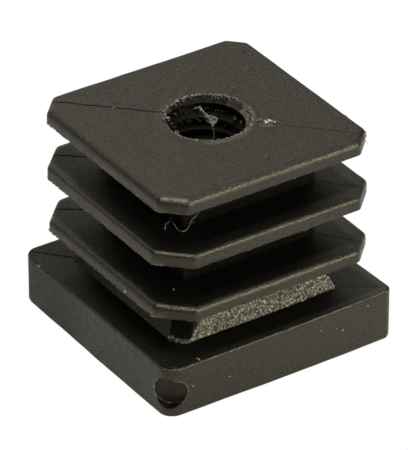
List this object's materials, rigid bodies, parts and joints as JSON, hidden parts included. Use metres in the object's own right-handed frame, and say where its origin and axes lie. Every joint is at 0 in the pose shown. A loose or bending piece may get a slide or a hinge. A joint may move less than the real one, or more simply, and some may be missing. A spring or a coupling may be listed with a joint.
{
  "type": "square tube end cap",
  "caption": "Square plastic plug that closes the end of a square tube, with gripping fins and a threaded hole for a foot",
  "frame": {"origin": "middle of the flange's underside, on the thread's axis", "axes": "+Z along the thread's axis, from the flange up through the fins; X and Y square to the flange's sides"},
  "size_m": [0.03, 0.03, 0.0263],
  "materials": {
    "black_plastic": "black moulded plastic with a soft satin skin"
  },
  "bodies": {
    "root": {"insert_body": "black_plastic"}
  },
  "joints": []
}
